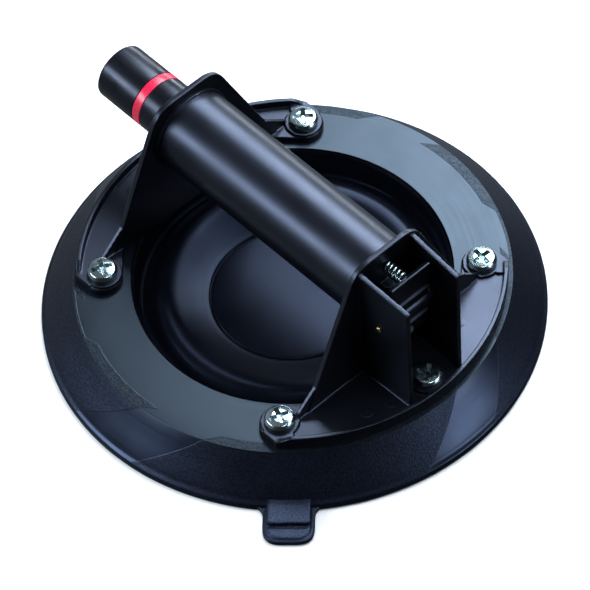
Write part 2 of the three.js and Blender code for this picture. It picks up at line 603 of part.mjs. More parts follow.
function releaseLever() {
  const w = LEVER_HALF_WIDTH;
  const plate = polygon([
    [LEVER_LOW.z, LEVER_LOW.x - LEVER_THICKNESS], [LEVER_LOW.z, LEVER_LOW.x],
    [LEVER_HIGH.z, LEVER_HIGH.x], [LEVER_HIGH.z, LEVER_HIGH.x - LEVER_THICKNESS],
  ]);
  const ribs = LEVER_RIBS.map((z) => {
    return block([leverFace(z) - 1, leverFace(z) + 0.9], [-w, w], [z - 0.6, z + 0.6]);
  });
  const topLip = block([LEVER_HIGH.x - 1, LEVER_HIGH.x + 0.7], [-w, w], [LEVER_HIGH.z - 1.3, LEVER_HIGH.z]);
  const { x, z } = LEVER_PIVOT;
  const hub = rod(HUB.radius, -HUB.half, HUB.half, "y").translate(x, 0, z);
  const face = leverFace(RELEASE_SPRING_Z) - LEVER_THICKNESS;
  const springPost = rod(SPRING_POST, face - 2.2, face + 1, "x", 16).translate(0, 0, RELEASE_SPRING_Z);
  const solid = join(extruded(plate, "y", -w, w), ...ribs, topLip, hub, springPost);
  const pinHole = rod(PIN_RADIUS + GAP, -HUB.half - 1, HUB.half + 1, "y", 16).translate(x, 0, z);
  const plugHole = rod(PLUG.hole, LEVER_LOW.x - 7, LEVER_HIGH.x, "x", 12).translate(0, 0, VALVE_Z);
  return cut(solid, pinHole, plugHole);
}

function buildRelease() {
  addPiece("release_lever", releaseLever(), BLACK_PLASTIC);

  const back = leverFace(VALVE_Z) - LEVER_THICKNESS;
  const front = leverFace(VALVE_Z);
  const plug = turned([
    [0, back - 1.75], [PLUG.radius - 0.3, back - 1.75], [PLUG.radius, back - 1.4],
    [PLUG.radius, back - 0.25], [PLUG.stem, back - 0.25], [PLUG.stem, front + 0.3],
    [PLUG.head, front + 0.5], [PLUG.stem - 0.15, front + 1.6], [0, front + 1.6],
  ], "x", 16);
  addPiece("release_valve_plug", plug, RUBBER, [0, 0, VALVE_Z]);

  const { from, to, bore, shank, flange } = NIPPLE;
  const nipple = turned([
    [bore, from], [shank, from], [shank, to - 0.7], [flange, to - 0.7], [flange, to - 0.3],
    [shank, to], [bore, to], [bore, from],
  ], "x", 16);
  addPiece("valve_nipple", nipple, BRASS, [0, 0, VALVE_Z]);

  const pin = turned([
    [0, -PIN_HALF], [PIN_RADIUS - 0.3, -PIN_HALF], [PIN_RADIUS, 0.3 - PIN_HALF],
    [PIN_RADIUS, PIN_HALF - 0.3], [PIN_RADIUS - 0.3, PIN_HALF], [0, PIN_HALF],
  ], "y", 16);
  addPiece("lever_pivot_pin", pin, BRASS, [LEVER_PIVOT.x, 0, LEVER_PIVOT.z]);

  const leverBack = leverFace(RELEASE_SPRING_Z) - LEVER_THICKNESS;
  const ends = { from: NEAR_PLATE.to + 0.15, to: leverBack - 0.2 };
  addPiece("release_spring", coilSpring({ ...RELEASE_COIL, ...ends, z: RELEASE_SPRING_Z }), BRIGHT_STEEL);
}

buildPad();
addPiece("handle_body", handleBody(), BLACK_PLASTIC);
buildScrews();
buildChamberFittings();
buildPlunger();
buildRelease();

export default cup;
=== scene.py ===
import json
import math

import bmesh
import bpy
from mathutils import Matrix, Vector


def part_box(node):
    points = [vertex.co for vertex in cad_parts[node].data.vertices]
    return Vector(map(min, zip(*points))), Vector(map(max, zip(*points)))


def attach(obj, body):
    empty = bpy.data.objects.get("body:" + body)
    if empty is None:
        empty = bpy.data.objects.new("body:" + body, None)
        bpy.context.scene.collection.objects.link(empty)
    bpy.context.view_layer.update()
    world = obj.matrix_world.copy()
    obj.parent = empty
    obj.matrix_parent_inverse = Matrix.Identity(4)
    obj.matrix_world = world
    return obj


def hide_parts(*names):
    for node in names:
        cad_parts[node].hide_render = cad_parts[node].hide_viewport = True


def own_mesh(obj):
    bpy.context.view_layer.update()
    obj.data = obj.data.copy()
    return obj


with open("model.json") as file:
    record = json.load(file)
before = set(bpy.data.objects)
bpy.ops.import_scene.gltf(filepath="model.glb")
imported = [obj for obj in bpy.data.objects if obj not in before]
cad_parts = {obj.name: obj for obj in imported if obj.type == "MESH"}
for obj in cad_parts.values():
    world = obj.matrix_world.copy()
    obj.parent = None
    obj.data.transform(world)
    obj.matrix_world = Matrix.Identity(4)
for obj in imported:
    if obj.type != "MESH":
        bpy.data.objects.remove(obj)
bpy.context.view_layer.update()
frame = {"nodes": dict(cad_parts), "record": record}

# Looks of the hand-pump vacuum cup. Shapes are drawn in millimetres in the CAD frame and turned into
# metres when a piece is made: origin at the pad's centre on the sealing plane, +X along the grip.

MM = 0.001


def box_mm(node):
    """Lowest and highest corner of a CAD node, in millimetres."""
    low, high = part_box(node)
    return low / MM, high / MM


PAD_LOW, PAD_HIGH = box_mm("vacuum_pad")
BODY_LOW, BODY_HIGH = box_mm("handle_body")
PLUNGER_LOW, PLUNGER_HIGH = box_mm("plunger")
LEVER_LOW, LEVER_HIGH = box_mm("release_lever")
PIN_LOW, PIN_HIGH = box_mm("lever_pivot_pin")

# Pad
PAD_RADIUS = -PAD_LOW.x
RING_TOP = PAD_HIGH.z
TAB_TIP = 117.6  # measured from the pad's centre
TAB_HALF_WIDTH = 10.2
TAB_ANGLE = -44.5

# Grip barrel, which is the pump cylinder
GRIP_Z = (PLUNGER_LOW.z + PLUNGER_HIGH.z) / 2
GRIP_RADIUS = 17.3
COLLAR_RADIUS = 18.4
BORE_RADIUS = 13.2
MOUTH_RADIUS = 15.4
MOUTH_DEPTH_X = -48.2
CHAMBER_END_X = 46
VALVE_POCKET_RADIUS = 7.5
VALVE_POCKET_X = 48.2
BARREL_END_X = 53.8
SNAP_GROOVE = (-57.7, -56.4)
SNAP_GROOVE_RADIUS = 16.3

# Plates and side walls of the handle
FAR_PLATE = (-58.5, -56)
NEAR_PLATE = (53.6, 56)
PLATE_TOP = BODY_HIGH.z
PLATE_BASE_HALF = 45.2
PLATE_SHOULDER_HALF = 15.6
SHOULDER_RADIUS = 12
PLATE_DRAFT = 0.006  # share by which one face is smaller than the other
WALL_THICKNESS = 2
WALL_ENDS = ((55, 14.9, 82.6), (81.7, 14.1, 80))  # x, outer y and top z

# Feet
FOOT_BOTTOM = BODY_LOW.z
FOOT_RADIUS = BODY_HIGH.x
FOOT_END_Y = BODY_HIGH.y
FOOT_INNER_Y = 39.1
FLOOR_TOP = 22.8
BOSS_TOP = 24
BOSS_RADIUS = 7.6
CORNER_RADIUS = 8.2
LIP_RISE = 2.2
LIP_WIDTH = 1.8
LIP_END_ANGLE = 47.5
LIP_RAMP_ANGLE = 4
SCREW_HOLE_RADIUS = 3.5

# Screws
HEAD_RADIUS = 6.1
HEAD_HEIGHT = 3.5
SHANK_RADIUS = 3
SHANK_END = 9.2

# Air duct, release valve and lever
DUCT_X = 57.5
DUCT_RADIUS = 4.3
DUCT_TOP = 68.5
TUBE_RADIUS = 3.3
BRANCH_RADIUS = 3.8
BRANCH_END_X = 61.9
VALVE_Z = 46
RELEASE_SPRING_Z = 75.2
PIVOT = ((PIN_LOW.x + PIN_HIGH.x) / 2, (PIN_LOW.z + PIN_HIGH.z) / 2)
PIN_HOLE_RADIUS = 1.8
HUB_RADIUS = 3.1
HUB_HALF_WIDTH = 12.2
LEVER_FOOT_X = 67
LEVER_LEAN = 2  # how far the outer face's top stands out beyond its foot
LEVER_THICKNESS = 2.4
LEVER_HALF_WIDTH = 10
GRIP_RIBS_Z = (66, 57.8, 50.2)

# Springs
RETURN_COIL = {"radius": 8.8, "wire": 1.5, "turns": 8, "dead_turns": 1}
RELEASE_COIL = {"radius": 2.35, "wire": 1, "turns": 5, "dead_turns": 0.5}
DEAD_PITCH = 1.1  # pitch of the closed end turns, in wire thicknesses

# Grid of the fused mouldings
VOXEL = 0.3
LEVER_VOXEL = 0.22
TAB_VOXEL = 0.4

# Sectors of the skirt, in degrees of a quarter turn, and the radii that bound them
QUARTER = 90
SMOOTH_START = 4.2
SMOOTH_WIDTH = 19.3
SECTOR_SWEEP = 1.15  # degrees for each millimetre of radius
BOWL_EDGE = 60
RING_EDGE = 87
SKIRT_RADIUS = 86.6
STRIP_RADIUS = 83.3
STRIP_GAP = (45.5, 61.6)

# Camera and light
CAMERA_RIGHT = (0.6858, 0.7266, -0.0420)
CAMERA_UP = (-0.5597, 0.5634, 0.6077)
CAMERA_DISTANCE = 1.789
CAMERA_LENS = 271.8
CAMERA_SENSOR = 36
CAMERA_SHIFT = (0.0009, 0.0149)
COOL_WHITE = (0.8, 0.9, 1.0)
WHITE = (1, 1, 1)


# ------------------------------------------------------------------ camera
def make_camera():
    right = Vector(CAMERA_RIGHT).normalized()
    up = Vector(CAMERA_UP).normalized()
    back = right.cross(up)
    camera = bpy.data.objects.new("camera", bpy.data.cameras.new("camera"))
    bpy.context.collection.objects.link(camera)
    turn = Matrix((right, up, back)).transposed().to_4x4()
    camera.matrix_world = Matrix.Translation(back * CAMERA_DISTANCE) @ turn
    camera.data.sensor_width = CAMERA_SENSOR
    camera.data.lens = CAMERA_LENS
    camera.data.shift_x, camera.data.shift_y = CAMERA_SHIFT
    bpy.context.scene.camera = camera


# ------------------------------------------------------------------ outlines
def rounded(points, steps=5):
    """Closed outline whose corners (u, v, radius) are eased; a radius of 0 keeps the corner sharp."""
    outline = []
    for index, (u, v, radius) in enumerate(points):
        here = Vector((u, v))
        before = Vector(points[index - 1][:2]) - here
        after = Vector(points[(index + 1) % len(points)][:2]) - here
        if radius == 0:
            outline.append(here)
            continue
        reach = radius / math.tan(before.angle(after) / 2)
        reach = min(reach, 0.49 * before.length, 0.49 * after.length)
        start = here + before.normalized() * reach
        end = here + after.normalized() * reach
        for step in range(steps + 1):
            t = step / steps
            outline.append(start * (1 - t) ** 2 + here * 2 * t * (1 - t) + end * t * t)
    return outline


def smooth_line(points, steps):
    """Open Catmull-Rom curve through the points."""
    line = []
    padded = [points[0], *points, points[-1]]
    for index in range(1, len(padded) - 2):
        a, b, c, d = (Vector(padded[index + k]) for k in (-1, 0, 1, 2))
        for step in range(steps):
            t = step / steps
            line.append(0.5 * (2 * b + (c - a) * t + (2 * a - 5 * b + 4 * c - d) * t * t
                               + (3 * b - a - 3 * c + d) * t ** 3))
    return line + [Vector(points[-1])]


def arc(centre, radius, start, end, steps=24):
    """Points on an arc; the angles are in degrees."""
    points = []
    for step in range(steps + 1):
        angle = math.radians(start + (end - start) * step / steps)
        points.append(Vector((centre[0] + radius * math.cos(angle), centre[1] + radius * math.sin(angle))))
    return points


# ------------------------------------------------------------------ solids
PLACE = {
    "x": lambda u, v, along: (along, u, v),
    "y": lambda u, v, along: (u, along, v),
    "z": lambda u, v, along: (u, v, along),
}


def lathe(profile, axis="z", centre=(0, 0, 0), segments=96):
    """Solid of revolution of a (radius, distance along the axis) profile, closed on the axis or on itself."""
    bm = bmesh.new()
    rings = []
    for radius, along in profile:
        count = segments if radius > 1e-6 else 1
        turns = [2 * math.pi * step / segments for step in range(count)]
        spots = [PLACE[axis](radius * math.cos(a), radius * math.sin(a), along) for a in turns]
        rings.append([bm.verts.new(Vector(spot) + Vector(centre)) for spot in spots])
    pairs = list(zip(rings, rings[1:]))
    if len(rings[0]) > 1:
        pairs.append((rings[-1], rings[0]))
    for ring, other in pairs:
        for step in range(segments):
            corners = [ring[step % len(ring)], ring[(step + 1) % segments % len(ring)],
                       other[(step + 1) % segments % len(other)], other[step % len(other)]]
            corners = list(dict.fromkeys(corners))
            if len(corners) > 2:
                bm.faces.new(corners)
    bmesh.ops.recalc_face_normals(bm, faces=bm.faces)
    return bm


def rod(radius, low, high, axis="z", centre=(0, 0, 0), segments=48):
    return lathe([(0, low), (radius, low), (radius, high), (0, high)], axis, centre, segments)


def loft(sections):
    """Solid skinned over sections that all have the same number of corners."""
    bm = bmesh.new()
    rings = [[bm.verts.new(corner) for corner in section] for section in sections]
    for ring, other in zip(rings, rings[1:]):
        for k in range(len(ring)):
            bm.faces.new((ring[k - 1], ring[k], other[k], other[k - 1]))
    bm.faces.new(rings[0])
    bm.faces.new(rings[-1])
    bmesh.ops.recalc_face_normals(bm, faces=bm.faces)
    return bm


def prism(outline, axis, low, high, shrink=0.0):
    """Solid with a flat outline: (x, y) for axis z, (y, z) for axis x and (x, z) for axis y.

    A plate's draft shrinks its low end towards the middle of its base by the given share.
    """
    base = Vector((0, FOOT_BOTTOM))
    drafted = [base + (point - base) * (1 - shrink) for point in map(Vector, outline)]
    return loft([[PLACE[axis](u, v, low) for u, v in drafted], [PLACE[axis](u, v, high) for u, v in outline]])


def block(x, y, z):
    return prism([(x[0], y[0]), (x[1], y[0]), (x[1], y[1]), (x[0], y[1])], "z", z[0], z[1])


def coil(low, high, z, radius, wire, turns, dead_turns):
    """Round-wire spring along X whose end turns lie close together."""
    steps, sides = 40, 12
    pitch = wire * DEAD_PITCH
    live = (high - low - wire) - 2 * dead_turns * pitch

    def centre(turn):
        start = min(turn, dead_turns)
        end = max(turn - (turns - dead_turns), 0)
        middle = (turn - start - end) / (turns - 2 * dead_turns)
        along = low + wire / 2 + (start + end) * pitch + middle * live
        angle = 2 * math.pi * turn
        return Vector((along, radius * math.cos(angle), z + radius * math.sin(angle)))

    sections = []
    around = [2 * math.pi * k / sides for k in range(sides)]
    for step in range(int(turns * steps) + 1):
        turn = step / steps
        here = centre(turn)
        outward = (here - Vector((here.x, 0, z))).normalized()
        tangent = (centre(turn + 0.01) - centre(turn - 0.01)).normalized()
        side = tangent.cross(outward).normalized()
        sections.append([here + (outward * math.cos(a) + side * math.sin(a)) * wire / 2 for a in around])
    return loft(sections)


def turned(bm, angle):
    """The same solid turned about Z by an angle in degrees."""
    bmesh.ops.rotate(bm, verts=bm.verts, matrix=Matrix.Rotation(math.radians(angle), 3, "Z"))
    return bm


# ------------------------------------------------------------------ joining and making pieces
def to_object(name, solids):
    """One object, still in millimetres, that holds all the solids."""
    joined = bmesh.new()
    for solid in solids:
        part = bpy.data.meshes.new(name)
        solid.to_mesh(part)
        solid.free()
        joined.from_mesh(part)
        bpy.data.meshes.remove(part)
    mesh = bpy.data.meshes.new(name)
    joined.to_mesh(mesh)
    joined.free()
    obj = bpy.data.objects.new(name, mesh)
    bpy.context.collection.objects.link(obj)
    return obj


def applied(obj):
    """Applies the object's modifiers to its mesh."""
    depsgraph = bpy.context.evaluated_depsgraph_get()
    mesh = bpy.data.meshes.new_from_object(obj.evaluated_get(depsgraph))
    obj.modifiers.clear()
    old, obj.data = obj.data, mesh
    bpy.data.meshes.remove(old)
    return obj


def moulded(obj, voxel, passes):
    """Fuses overlapping solids into one skin with the small edge radii of a moulding."""
    remesh = obj.modifiers.new("fuse", "REMESH")
    remesh.mode = "VOXEL"
    remesh.voxel_size = voxel
    smooth = obj.modifiers.new("ease", "SMOOTH")
    smooth.factor = 0.5
    smooth.iterations = passes
    return applied(obj)


def combined(obj, solids, operation):
    """Adds solids to the object or cuts them out of it, one after the other."""
    for solid in solids:
        tool = to_object("tool", [solid])
        boolean = obj.modifiers.new("combine", "BOOLEAN")
        boolean.operation = operation
        boolean.solver = "EXACT"
        boolean.object = tool
        applied(obj)
        bpy.data.objects.remove(tool)
    return obj


def finish_piece(obj, body, slot, stands_for, sharp=35):
    """Turns a drawn object into a finished piece in metres that rides on a body."""
    obj.data.transform(Matrix.Scale(MM, 4))
    obj.data.materials.clear()
    obj.data.materials.append(MATERIALS[slot])
    obj.data.shade_smooth()
    obj.data.set_sharp_from_angle(angle=math.radians(sharp))
    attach(obj, body)
    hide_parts(stands_for)
    return obj


# ------------------------------------------------------------------ materials
class Finish:
    """A node material built up from textures that read the object's own coordinates, in metres."""

    def __init__(self, slot, metallic=0.0, specular=0.5, tint=(1, 1, 1)):
        self.material = bpy.data.materials.new(slot)
        self.material.use_nodes = True
        self.tree = self.material.node_tree
        self.shader = self.tree.nodes["Principled BSDF"]
        self.shader.inputs["Metallic"].default_value = metallic
        self.shader.inputs["Specular IOR Level"].default_value = specular
        self.shader.inputs["Specular Tint"].default_value = (*tint, 1)
        self.place = self.add("ShaderNodeTexCoord").outputs["Object"]

    def add(self, kind, **settings):
        node = self.tree.nodes.new(kind)
        for name, value in settings.items():
            setattr(node, name, value)
        return node

    def feed(self, socket, value):
        if isinstance(value, bpy.types.NodeSocket):
            self.tree.links.new(value, socket)
        else:
            socket.default_value = value

    def math(self, operation, *values):
        node = self.add("ShaderNodeMath", operation=operation)
        for socket, value in zip(node.inputs, values):
            self.feed(socket, value)
        return node.outputs[0]

    def stretched(self, x, y, z):
        """Coordinates stretched along the axes, for streaks and brush marks."""
        node = self.add("ShaderNodeVectorMath", operation="MULTIPLY")
        self.feed(node.inputs[0], self.place)
        node.inputs[1].default_value = (x, y, z)
        return node.outputs[0]

    def noise(self, size, detail=3.0, place=None):
        """Noise with features of about the given size in millimetres."""
        node = self.add("ShaderNodeTexNoise")
        self.feed(node.inputs["Vector"], place or self.place)
        node.inputs["Scale"].default_value = 1 / (size * MM)
        node.inputs["Detail"].default_value = detail
        return node.outputs["Fac"]

    def span(self, value, low, high, start, end):
        """Maps low..high to start..end and holds the ends."""
        node = self.add("ShaderNodeMapRange")
        for name, number in (("Value", value), ("From Min", low), ("From Max", high),
                             ("To Min", start), ("To Max", end)):
            self.feed(node.inputs[name], number)
        return node.outputs[0]

    def step_up(self, value, start, width):
        """0 before the start and 1 once the width is passed."""
        return self.span(value, start, start + width, 0, 1)

    def step_down(self, value, start, width):
        """1 before the start and 0 once the width is passed."""
        return self.span(value, start, start + width, 1, 0)

    def mix(self, share, first, second):
        node = self.add("ShaderNodeMix", data_type="RGBA")
        self.feed(node.inputs["Factor"], share)
        self.feed(node.inputs["A"], first if isinstance(first, bpy.types.NodeSocket) else (*first, 1))
        self.feed(node.inputs["B"], second if isinstance(second, bpy.types.NodeSocket) else (*second, 1))
        return node.outputs["Result"]

    def bump(self, height, depth, after=None):
        """Adds relief of the given depth in millimetres."""
        node = self.add("ShaderNodeBump")
        node.inputs["Strength"].default_value = 1
        node.inputs["Distance"].default_value = depth * MM
        self.feed(node.inputs["Height"], height)
        if after:
            self.feed(node.inputs["Normal"], after)
        return node.outputs["Normal"]

    def edges(self, start=0.53, end=0.6):
        """1 on outward edges, where the plastic's colour is lightened as a painted highlight."""
        return self.span(self.add("ShaderNodeNewGeometry").outputs["Pointiness"], start, end, 0, 1)

    def done(self, color, roughness, normal):
        self.feed(self.shader.inputs["Base Color"], color)
        self.feed(self.shader.inputs["Roughness"], roughness)
        self.feed(self.shader.inputs["Normal"], normal)
        return self.material


def pad_rubber():
    """Moulded rubber: smooth and grained sectors on the skirt, fine turning marks on the flat ring."""
    look = Finish("pad_rubber")
    split = look.add("ShaderNodeSeparateXYZ")
    look.feed(split.inputs[0], look.place)
    x, y = split.outputs["X"], split.outputs["Y"]
    radius = look.math("DIVIDE", look.math("SQRT", look.math("ADD", look.math("MULTIPLY", x, x),
                                                            look.math("MULTIPLY", y, y))), MM)
    angle = look.math("DEGREES", look.math("ARCTAN2", y, x))
    past_ring = look.math("SUBTRACT", radius, RING_EDGE)
    swept = look.math("ADD", angle, look.math("MULTIPLY", past_ring, SECTOR_SWEEP))
    sector = look.math("FLOORED_MODULO", look.math("ADD", swept, QUARTER - SMOOTH_START), QUARTER)
    grained = look.math("MULTIPLY", look.step_up(sector, SMOOTH_WIDTH, 0.4),
                        look.step_down(sector, QUARTER - 0.4, 0.4))
    skirt = look.step_up(radius, SKIRT_RADIUS, 0.3)
    gap = look.math("MULTIPLY", look.step_up(sector, STRIP_GAP[0], 0.4),
                    look.step_down(sector, STRIP_GAP[1], 0.4))
    strip = look.math("MULTIPLY", look.step_up(radius, STRIP_RADIUS, 0.3), look.math("SUBTRACT", 1, gap))
    grain_here = look.math("MULTIPLY", grained, look.math("MAXIMUM", skirt, strip))

    pebble = look.noise(0.7, 2)
    soft = look.noise(14, 3)
    rings = look.add("ShaderNodeCombineXYZ")
    look.feed(rings.inputs["X"], look.math("MULTIPLY", radius, 0.0012))
    look.feed(rings.inputs["Y"], look.math("MULTIPLY", angle, 0.00002))
    marks = look.noise(0.9, 4, rings.outputs[0])
    shade = look.math("ADD", look.math("MULTIPLY", soft, 0.6), look.math("MULTIPLY", pebble, 0.4))
    color = look.mix(look.span(shade, 0.3, 0.7, 0, 1), (0.0008, 0.0011, 0.0022), (0.0022, 0.0027, 0.0056))
    color = look.mix(look.math("MULTIPLY", grain_here, 0.5), color, (0.0018, 0.0018, 0.0034))
    rough = look.span(look.math("ADD", look.math("MULTIPLY", soft, 0.5), look.math("MULTIPLY", marks, 0.5)),
                      0.3, 0.7, 0.27, 0.37)
    rough = look.math("ADD", rough, look.math("MULTIPLY", grain_here, 0.12))
    speckle = look.span(look.math("MULTIPLY", grain_here, look.span(pebble, 0.4, 0.6, 1, 0)), 0, 1, 1, 0.55)
    on_ring = look.math("MULTIPLY", look.step_up(radius, BOWL_EDGE, 3), look.step_down(radius, RING_EDGE, 2))
    shine = look.span(radius, BOWL_EDGE, BOWL_EDGE + 3, 0.19, 0.58)
    shine = look.math("ADD", shine, look.math("MULTIPLY", on_ring, -0.12))
    shine = look.math("MULTIPLY", shine, look.span(radius, 101, 103, 1, 1.6))
    look.feed(look.shader.inputs["Specular IOR Level"], look.math("MULTIPLY", shine, speckle))
    look.feed(look.shader.inputs["Specular Tint"], look.mix(on_ring, (0.46, 0.6, 1.0), (0.58, 0.78, 1.0)))
    relief = look.math("MULTIPLY", pebble, look.span(grain_here, 0, 1, 0.06, 1))
    normal = look.bump(relief, 0.1)
    normal = look.bump(marks, 0.006, normal)
    return look.done(color, rough, normal)


def black_plastic():
    """Semi-gloss moulded plastic with a faint texture and a painted highlight that lightens its outward
    edges.
    """
    look = Finish("black_plastic", specular=0.6, tint=(0.6, 0.7, 1.0))
    cloud = look.noise(18, 4)
    fine = look.noise(0.8, 3)
    color = look.mix(look.span(cloud, 0.35, 0.65, 0, 1), (0.0008, 0.0009, 0.0013), (0.0018, 0.002, 0.003))
    # painted highlight: outward edges get a lighter blue-grey base colour in place of thin glints along the
    # rounded edges
    color = look.mix(look.edges(0.56, 0.64), color, (0.1, 0.11, 0.14))
    rough = look.span(look.math("ADD", look.math("MULTIPLY", cloud, 0.6), look.math("MULTIPLY", fine, 0.4)),
                      0.3, 0.7, 0.3, 0.4)
    normal = look.bump(fine, 0.0012)
    return look.done(color, rough, normal)


def plunger_plastic():
    """The same plastic, with fine sliding marks along the plunger."""
    look = Finish("plunger_plastic", specular=0.45, tint=(0.68, 0.76, 1.0))
    streaks = look.noise(0.5, 4, look.stretched(0.03, 1, 1))
    cloud = look.noise(12, 3)
    color = look.mix(look.span(streaks, 0.4, 0.75, 0, 1), (0.001, 0.0011, 0.0016), (0.003, 0.0033, 0.0046))
    mixed = look.math("ADD", look.math("MULTIPLY", streaks, 0.3), look.math("MULTIPLY", cloud, 0.7))
    rough = look.span(mixed, 0.3, 0.7, 0.22, 0.36)
    return look.done(color, rough, look.bump(streaks, 0.0006))


def red_plastic():
    look = Finish("red_plastic", specular=0.6)
    cloud = look.noise(5, 4)
    grain = look.noise(0.6, 3)
    color = look.mix(look.span(cloud, 0.3, 0.7, 0, 1), (0.44, 0.004, 0.03), (0.6, 0.008, 0.055))
    rough = look.span(grain, 0.3, 0.7, 0.22, 0.36)
    return look.done(color, rough, look.bump(grain, 0.01))


def white_plastic():
    look = Finish("white_plastic", specular=0.45)
    cloud = look.noise(9, 4)
    fine = look.noise(0.7, 3)
    color = look.mix(look.span(cloud, 0.3, 0.7, 0, 1), (0.6, 0.58, 0.52), (0.76, 0.74, 0.69))
    return look.done(color, look.span(fine, 0.3, 0.7, 0.4, 0.55), look.bump(fine, 0.012))


def seal_rubber():
    look = Finish("seal_rubber", specular=0.4)
    cloud = look.noise(6, 4)
    fine = look.noise(0.5, 3)
    color = look.mix(look.span(cloud, 0.3, 0.7, 0, 1), (0.012, 0.012, 0.013), (0.03, 0.03, 0.032))
    return look.done(color, look.span(fine, 0.3, 0.7, 0.5, 0.7), look.bump(fine, 0.015))


def metal(slot, dark, light, smooth, rough, relief=0.004):
    """Metal with faint stains, turning scratches and a varying polish."""
    look = Finish(slot, metallic=1.0)
    stain = look.noise(4, 5)
    lines = look.noise(0.6, 4, look.stretched(1, 1, 0.08))
    color = look.mix(look.span(stain, 0.35, 0.65, 0, 1), dark, light)
    mixed = look.math("ADD", look.math("MULTIPLY", stain, 0.5), look.math("MULTIPLY", lines, 0.5))
    return look.done(color, look.span(mixed, 0.3, 0.7, smooth, rough), look.bump(lines, relief))


def felt():
    look = Finish("felt", specular=0.2)
    strands = look.noise(0.5, 6)
    color = look.mix(look.span(strands, 0.3, 0.7, 0, 1), (0.36, 0.33, 0.27), (0.62, 0.58, 0.5))
    return look.done(color, look.span(strands, 0.3, 0.7, 0.85, 1), look.bump(strands, 0.15))


def make_materials():
    return {
        "pad_rubber": pad_rubber(),
        "seal_rubber": seal_rubber(),
        "black_plastic": black_plastic(),
        "plunger_plastic": plunger_plastic(),
        "red_plastic": red_plastic(),
        "white_plastic": white_plastic(),
        "bright_steel": metal("bright_steel", (0.36, 0.46, 0.48), (0.54, 0.64, 0.66), 0.16, 0.26, 0.0003),
        "dark_steel": metal("dark_steel", (0.33, 0.33, 0.34), (0.5, 0.5, 0.51), 0.3, 0.48),
        "brass": metal("brass", (0.55, 0.37, 0.12), (0.78, 0.58, 0.26), 0.18, 0.34),
        "felt": felt(),
    }


def dress_cad_nodes():
    """Gives every CAD node that keeps its shape the finish of its slot."""
    for row in frame["record"]["subparts"]:
        mesh = frame["nodes"][row["node"]].data
        mesh.materials.clear()
        mesh.materials.append(MATERIALS[row["material_slot"]])


# ------------------------------------------------------------------ rubber pad
def pad_profile():
    bowl = [(0, 8.1), (12, 8.05), (22, 7.9), (30, 7.6), (32.8, 7.3), (33.1, 6.6), (33.6, 6.6), (33.9, 7.3),
            (36, 8), (40, 9.5), (44, 11.1), (47.5, 12.4), (50.5, 13), (53.5, 12.8), (56.5, 11.1),
            (58.8, 8.9), (60.6, 7.9)]
    wall = [(61.6, 8.6), (62.3, 11), (62.9, 15), (63.5, 18.9)]
    shoulder = [(64.5, RING_TOP), (66, RING_TOP), (86, RING_TOP), (86.9, 19.7), (87.8, 18.9)]
    skirt = [(90, 16.1), (93, 12.6), (96, 9.2), (98.6, 6.1), (99.8, 4.5), (100.6, 3.8), (101.3, 3.2),
             (PAD_RADIUS, 2.4)]
    rim = [(PAD_RADIUS, 0.6), (101, 0), (91, 0)]
    hollow = [(90.2, 0.5), (88.5, 3.2), (86.5, 4.8), (84.5, 5), (52, 4.9), (50.6, 6.6), (48, 8.7), (44.5, 9),
              (40, 7.3), (37, 5.4), (34.5, 4.9), (0, 4.9)]
    top = smooth_line(bowl, 4) + smooth_line(wall, 3) + smooth_line(shoulder, 3)[:-1] + smooth_line(skirt, 3)
    return top + [Vector(point) for point in rim] + smooth_line(hollow, 3)


def pull_tab():
    """Tab with a raised finger block, a step and a thin rounded lip, drawn along +X and then turned."""
    tip, half = TAB_TIP, TAB_HALF_WIDTH
    plate = rounded([(PAD_RADIUS - 4, -half - 4.5, 0), (PAD_RADIUS + 1.5, -half, 5), (tip, -half, 7.5),
                     (tip, half, 7.5), (PAD_RADIUS + 1.5, half, 5), (PAD_RADIUS - 4, half + 4.5, 0)], 8)
    raised = rounded([(96.4, -8.5, 1), (110.3, -8.5, 1.6), (110.3, 8.5, 1.6), (96.4, 8.5, 1)], 5)
    core = rounded([(PAD_RADIUS, -half + 1.6, 1), (tip - 1.6, -half + 1.6, 6), (tip - 1.6, half - 1.6, 6),
                    (PAD_RADIUS, half - 1.6, 1)], 8)
    solids = [prism(plate, "z", 0.2, 2.3), prism(core, "z", 0.2, 2.9), prism(raised, "z", 0.4, 5)]
    return moulded(to_object("tab", [turned(solid, TAB_ANGLE) for solid in solids]), TAB_VOXEL, 3)


def make_pad():
    """Turned pad with its pull tab, an inner nozzle and the air port that runs through the nozzle."""
    pad = to_object("rubber_pad", [lathe(pad_profile(), segments=288)])
    nozzle = lathe(rounded([(0, 6, 0), (7.2, 6, 0), (7.2, 14, 0.8), (0, 14, 0)]), "z", (DUCT_X, 0, 0), 64)
    tab = pull_tab()
    solid = bmesh.new()
    solid.from_mesh(tab.data)
    bpy.data.objects.remove(tab)
    combined(pad, [nozzle, solid], "UNION")
    port = [rod(TUBE_RADIUS, 3, 15, centre=(DUCT_X, 0, 0)), rod(4.5, 3, 7.7, centre=(DUCT_X, 0, 0))]
    combined(pad, port, "DIFFERENCE")
    finish_piece(pad, "cup_frame", "pad_rubber", "vacuum_pad", sharp=42)


# ------------------------------------------------------------------ handle moulding
SCREWS = [((low.x + high.x) / 2, (low.y + high.y) / 2)
          for low, high in (box_mm(f"foot_screw_{number}") for number in range(1, 7))]


def plate_outline():
    """Plate drawn in (y, z): round shoulders, sides that spread towards the base."""
    base, shoulder = PLATE_BASE_HALF, PLATE_SHOULDER_HALF
    return rounded([(-base, FOOT_BOTTOM, 0), (base, FOOT_BOTTOM, 0), (shoulder, PLATE_TOP, SHOULDER_RADIUS),
                    (-shoulder, PLATE_TOP, SHOULDER_RADIUS)], 16)


